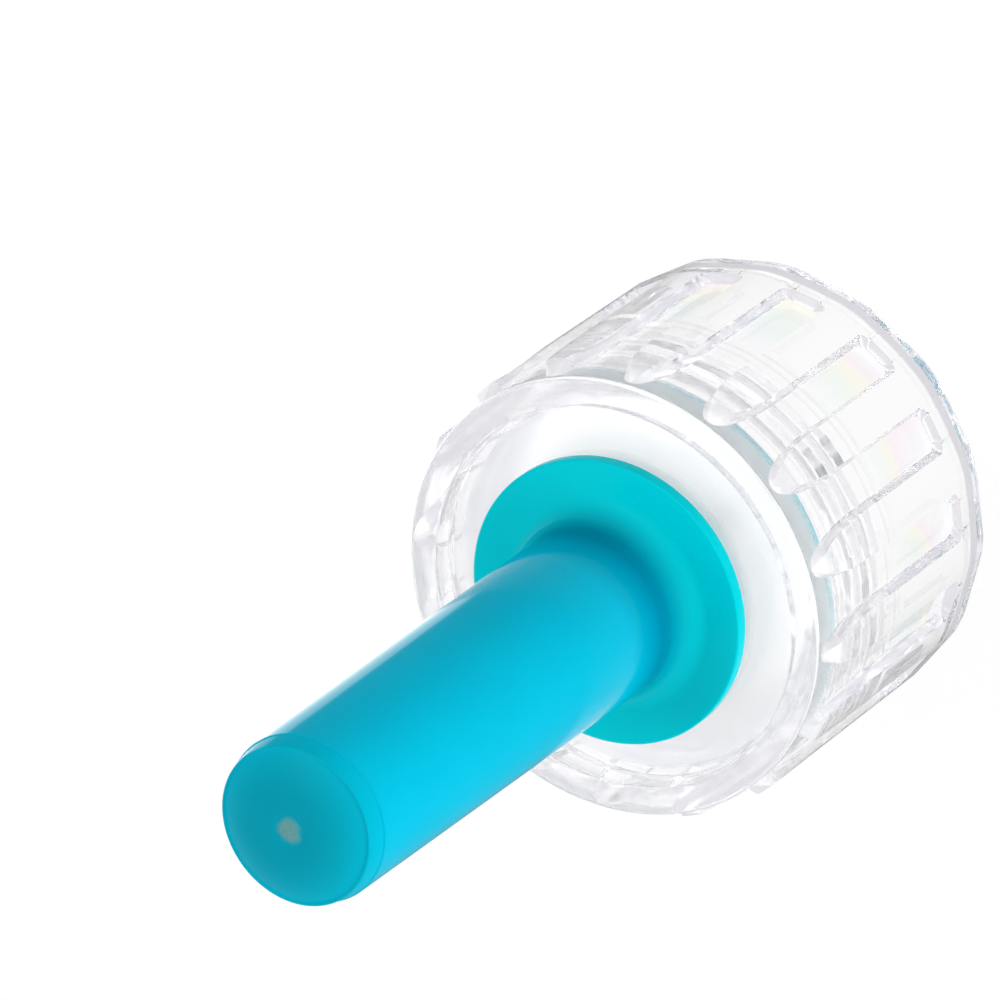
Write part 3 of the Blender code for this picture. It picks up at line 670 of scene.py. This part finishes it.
def shield_plastic():
    """Turquoise injection-moulded polyethylene.

    Smooth, slightly waxy and a little translucent, so it takes light evenly and keeps its full
    colour. Light and shade are painted along the part: the thin flange is painted lighter, as if
    lit through, and the fillet at the tube's foot and the closed end are painted darker, as
    painted shade. The gate is torn and pale.
    """
    material, tree = new_material("turquoise_moulded_polyethylene")
    place = add_node(tree, "TexCoord").outputs["Object"]
    part = add_node(tree, "SeparateXYZ", Vector=place)
    # colour along the part, with painted light and shade: the thin flange painted lighter and
    # greener as if lit through, painted shade darkening the foot of the tube, the tube, and painted
    # shade on the solid end
    rise = add_node(
        tree,
        "MapRange",
        i0=part.outputs["Z"],
        i1=FLANGE_BOTTOM * MM,
        i2=SHIELD_FACE * MM,
        i3=0.0,
        i4=1.0,
    ).outputs[0]
    along = add_node(tree, "ValToRGB", Fac=rise)
    ramp = along.color_ramp
    length = SHIELD_FACE - FLANGE_BOTTOM
    # the tube's turquoise, with painted light on the flange and painted shade at the tube's foot and the
    # closed end
    colour_and_painted_light_stops = [
        (0.0, "#00D8E3"),
        (FLANGE_THICKNESS, "#00D4E0"),
        (FLANGE_THICKNESS + 0.3, "#00ACBF"),
        (FLANGE_THICKNESS + 0.7, "#008BA7"),
        (FLANGE_THICKNESS + 1.0, "#0086A6"),
        (FLANGE_THICKNESS + 1.5, "#009ABA"),
        (FLANGE_THICKNESS + 2.4, "#00B4D3"),
        (length - 0.9, "#00B6D5"),
        (length - 0.3, "#00B0CA"),
        (length, "#0099B0"),
    ]
    ramp.elements[1].position = 1.0
    for height, _ in colour_and_painted_light_stops[1:-1]:
        ramp.elements.new(height / length)
    for element, (_, hue) in zip(ramp.elements, colour_and_painted_light_stops):
        element.color = linear(hue)
    # pigment streaks of the melt, a few millimetres long and very faint
    streaks = add_node(tree, "TexNoise", Vector=place, Scale=420.0, Detail=2.0)
    shade = add_node(
        tree, "MapRange", i0=streaks.outputs["Fac"], i1=0.3, i2=0.7, i3=0.0, i4=0.10
    ).outputs[0]
    base = add_node(
        tree, "Mix", {"data_type": "RGBA"}, i0=shade, i6=along.outputs["Color"], i7=linear("#00909F")
    )
    # torn gate: pale within about 0.3 mm of the axis, only at the closed end
    across = add_node(tree, "CombineXYZ", X=part.outputs["X"], Y=part.outputs["Y"], Z=0.0)
    away = add_node(
        tree, "VectorMath", {"operation": "LENGTH"}, i0=across.outputs["Vector"]
    ).outputs["Value"]
    tear = add_node(tree, "TexNoise", Vector=place, Scale=2600.0, Detail=3.0)
    ragged = add_node(
        tree, "Math", {"operation": "MULTIPLY_ADD"}, i0=tear.outputs["Fac"], i1=0.00034, i2=away
    ).outputs[0]
    near = add_node(
        tree,
        "MapRange",
        {"interpolation_type": "SMOOTHSTEP"},
        i0=ragged,
        i1=0.00052,
        i2=0.00032,
        i3=0.0,
        i4=1.0,
    ).outputs[0]
    end = add_node(
        tree, "Math", {"operation": "GREATER_THAN"}, i0=part.outputs["Z"], i1=(SHIELD_FACE - 0.2) * MM
    ).outputs[0]
    torn = add_node(tree, "Math", {"operation": "MULTIPLY"}, i0=near, i1=end).outputs[0]
    color = add_node(tree, "Mix", {"data_type": "RGBA"}, i0=torn, i6=base.outputs[2], i7=linear("#64999C"))
    rough = add_node(
        tree, "MapRange", i0=streaks.outputs["Fac"], i1=0.3, i2=0.7, i3=0.09, i4=0.14
    ).outputs[0]
    shader = add_node(
        tree,
        "BsdfPrincipled",
        Base_Color=color.outputs[2],
        Roughness=rough,
        IOR=1.51,
        Specular_IOR_Level=0.03,
    )
    finish_material(tree, shader.outputs["BSDF"])
    return material


def cannula_steel():
    """Stainless steel capillary, cold drawn and polished: fine lines along it, about 0.01 mm apart."""
    material, tree = new_material("drawn_stainless_steel")
    place = add_node(tree, "TexCoord").outputs["Object"]
    drawn = add_node(tree, "Mapping", {"vector_type": "POINT"}, Vector=place, Scale=(1.0, 1.0, 0.02))
    lines = add_node(tree, "TexNoise", Vector=drawn.outputs["Vector"], Scale=30000.0, Detail=2.0)
    tone = add_node(
        tree,
        "Mix",
        {"data_type": "RGBA"},
        i0=lines.outputs["Fac"],
        i6=linear("#8B8E95"),
        i7=linear("#B4B6BB"),
    )
    rough = add_node(tree, "MapRange", i0=lines.outputs["Fac"], i1=0.3, i2=0.7, i3=0.18, i4=0.32).outputs[0]
    shader = add_node(
        tree, "BsdfPrincipled", Base_Color=tone.outputs[2], Metallic=1.0, Roughness=rough
    )
    finish_material(tree, shader.outputs["BSDF"])
    return material


def cured_glue():
    """Light-cured acrylic glue: clear, a touch yellow, with fine dark specks where it shrank."""
    material, tree = new_material("cured_acrylic_glue")
    place = add_node(tree, "TexCoord").outputs["Object"]
    specks = add_node(tree, "TexVoronoi", Vector=place, Scale=9000.0)
    dark = add_node(
        tree, "MapRange", i0=specks.outputs["Distance"], i1=0.16, i2=0.24, i3=0.0, i4=1.0
    ).outputs[0]
    tint = add_node(
        tree, "Mix", {"data_type": "RGBA"}, i0=dark, i6=linear("#8C8A90"), i7=linear("#F6F3EA")
    )
    shader = add_node(
        tree, "BsdfPrincipled", Base_Color=tint.outputs[2], Roughness=0.06, IOR=1.5, Transmission_Weight=0.9
    )
    finish_material(tree, shader.outputs["BSDF"])
    return material


def seen_white(tree):
    """1 for rays from the camera, a mirror or through glass, which see the white background."""
    path = add_node(tree, "LightPath")
    first = add_node(
        tree,
        "Math",
        {"operation": "MAXIMUM"},
        i0=path.outputs["Is Camera Ray"],
        i1=path.outputs["Is Glossy Ray"],
    ).outputs[0]
    return add_node(
        tree, "Math", {"operation": "MAXIMUM"}, i0=first, i1=path.outputs["Is Transmission Ray"]
    ).outputs[0]


def build_floor():
    """Wide white table under the part, with a faint shadow: matt, mixed with its own even light.

    Seen straight or through glass it is white. Mirrored, it is dim but for a white card behind the
    part.
    """
    half = 600.0 * MM
    mesh = bpy.data.meshes.new("table_top")
    corners = [(-half, -half, 0.0), (half, -half, 0.0), (half, half, 0.0), (-half, half, 0.0)]
    mesh.from_pydata(corners, [], [(0, 1, 2, 3)])
    floor = bpy.data.objects.new("table_top", mesh)
    floor.location.z = -0.02 * MM
    bpy.context.scene.collection.objects.link(floor)
    material, tree = new_material("white_table")
    matt = add_node(tree, "BsdfDiffuse", Color=linear("#FCFCFC"))
    place = add_node(tree, "TexCoord").outputs["Object"]
    side = add_node(tree, "VectorMath", {"operation": "NORMALIZE"}, i0=place).outputs["Vector"]
    toward = add_node(
        tree, "VectorMath", {"operation": "DOT_PRODUCT"}, i0=side, i1=CARD_SIDE
    ).outputs["Value"]
    card = add_node(
        tree,
        "MapRange",
        i0=toward,
        i1=CARD_EDGE - CARD_BLUR,
        i2=CARD_EDGE + CARD_BLUR,
        i3=TABLE_MIRRORED,
        i4=CARD_LEVEL,
    ).outputs[0]
    path = add_node(tree, "LightPath")
    # a ray through rough glass counts as glossy too
    mirrored = add_node(
        tree,
        "Math",
        {"operation": "SUBTRACT"},
        i0=path.outputs["Is Glossy Ray"],
        i1=path.outputs["Is Transmission Ray"],
    ).outputs[0]
    level = add_node(tree, "Mix", i0=mirrored, i2=TABLE_LEVEL, i3=card).outputs[0]
    glow = add_node(tree, "Emission", Color=linear("#FFFFFF"), Strength=level)
    # the camera still sees a faint shadow
    share = add_node(
        tree,
        "Math",
        {"operation": "MULTIPLY_ADD"},
        i0=path.outputs["Is Camera Ray"],
        i1=-TABLE_SHADOW,
        i2=seen_white(tree),
    ).outputs[0]
    shader = add_node(tree, "MixShader", i0=share, i1=matt.outputs["BSDF"], i2=glow.outputs["Emission"])
    finish_material(tree, shader.outputs["Shader"])
    mesh.materials.append(material)


def build_world():
    """White studio. Seen straight it is white; mirrored or through glass, a little grey half way up."""
    world = bpy.data.worlds.new("studio")
    world.use_nodes = True
    bpy.context.scene.world = world
    tree = world.node_tree
    tree.nodes.clear()
    direction = add_node(tree, "TexCoord").outputs["Generated"]
    room = add_node(tree, "Background", Color=linear("#FFFFFF"), Strength=ROOM_LEVEL)
    overhead = add_node(tree, "SeparateXYZ", Vector=direction).outputs["Z"]
    tones = add_node(tree, "ValToRGB", Fac=overhead)
    ramp = tones.color_ramp
    ramp.elements[0].position = 0.10
    ramp.elements[0].color = linear("#F6F6F8")
    ramp.elements[1].position = 0.85
    ramp.elements[1].color = linear("#FFFFFF")
    ramp.elements.new(0.35).color = linear("#E6E4EB")
    ramp.elements.new(0.60).color = linear("#E8E6ED")
    beyond = add_node(tree, "Background", Color=tones.outputs["Color"], Strength=SURROUND_LEVEL)
    white = add_node(tree, "Background", Color=linear("#FFFFFF"), Strength=1.0)
    camera_ray = add_node(tree, "LightPath").outputs["Is Camera Ray"]
    unlit = add_node(
        tree,
        "MixShader",
        i0=seen_white(tree),
        i1=room.outputs["Background"],
        i2=beyond.outputs["Background"],
    )
    shader = add_node(
        tree, "MixShader", i0=camera_ray, i1=unlit.outputs["Shader"], i2=white.outputs["Background"]
    )
    add_node(tree, "OutputWorld", Surface=shader.outputs["Shader"])


def softbox(name, azimuth, elevation, distance, width, height, radiance):
    """Rectangular lamp that faces the part: radiance is what its face shows, where 1 is white.

    Its power is radiance times pi times its area. Azimuth 0 is in front and 90 to the right.
    """
    light = bpy.data.lights.new(name, "AREA")
    light.shape = "RECTANGLE"
    light.size = width * MM
    light.size_y = height * MM
    light.energy = radiance * math.pi * light.size * light.size_y
    lamp = bpy.data.objects.new(name, light)
    bpy.context.scene.collection.objects.link(lamp)
    turn, climb = math.radians(azimuth), math.radians(elevation)
    away = Vector((math.sin(turn) * math.cos(climb), -math.cos(turn) * math.cos(climb), math.sin(climb)))
    middle = Vector((0.0, 0.0, NECK_TOP * MM))
    lamp.location = middle + away * distance * MM
    lamp.rotation_euler = away.to_track_quat("Z", "Y").to_euler()
    lamp.visible_camera = False
    lamp.visible_glossy = False
    return lamp


def build_lights():
    """Soft key low at the front left, and a soft lamp high at the back right."""
    softbox("key", -38.0, 13.0, 120.0, 90.0, 60.0, 5.4)
    softbox("high", 120.0, 70.0, 120.0, 60.0, 60.0, 4.0)


def build_camera():
    """Camera at the fitted angles: it looks at the target from azimuth and elevation, then rolls."""
    data = bpy.data.cameras.new("camera")
    data.lens = VIEW_LENS
    data.sensor_width = VIEW_SENSOR
    data.clip_start = 1.0 * MM
    data.clip_end = 10.0
    camera = bpy.data.objects.new("camera", data)
    bpy.context.scene.collection.objects.link(camera)
    turn, climb = math.radians(VIEW_AZIMUTH), math.radians(VIEW_ELEVATION)
    away = Vector((math.sin(turn) * math.cos(climb), -math.cos(turn) * math.cos(climb), math.sin(climb)))
    level = away.to_track_quat("Z", "Y").to_matrix().to_4x4()
    place = Matrix.Translation((Vector(VIEW_TARGET) + away * VIEW_DISTANCE) * MM)
    camera.matrix_world = place @ level @ Matrix.Rotation(math.radians(VIEW_ROLL), 4, "Z")
    bpy.context.scene.camera = camera


def dress(piece, material, body, node):
    """Give a finished piece its material, body, replaced node and material slot."""
    piece.data.materials.append(material)
    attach(piece, body)
    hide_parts(node)


def main():
    """Build and dress the four pieces, then the table, the studio and the camera."""
    dress(build_hub(), clear_plastic(), "hub_body", "hub")
    dress(build_cannula(), cannula_steel(), "hub_body", "cannula")
    dress(build_bead(), cured_glue(), "hub_body", "adhesive_bead")
    dress(build_shield(), shield_plastic(), "shield_body", "inner_shield")
    build_floor()
    build_world()
    build_lights()
    build_camera()
    scene = bpy.context.scene
    scene.view_settings.view_transform = "Standard"
    # light passes eight or more clear faces on its way through the hub
    scene.cycles.max_bounces = 32
    scene.cycles.transmission_bounces = 32
    scene.cycles.glossy_bounces = 32
    scene.cycles.transparent_max_bounces = 16


main()
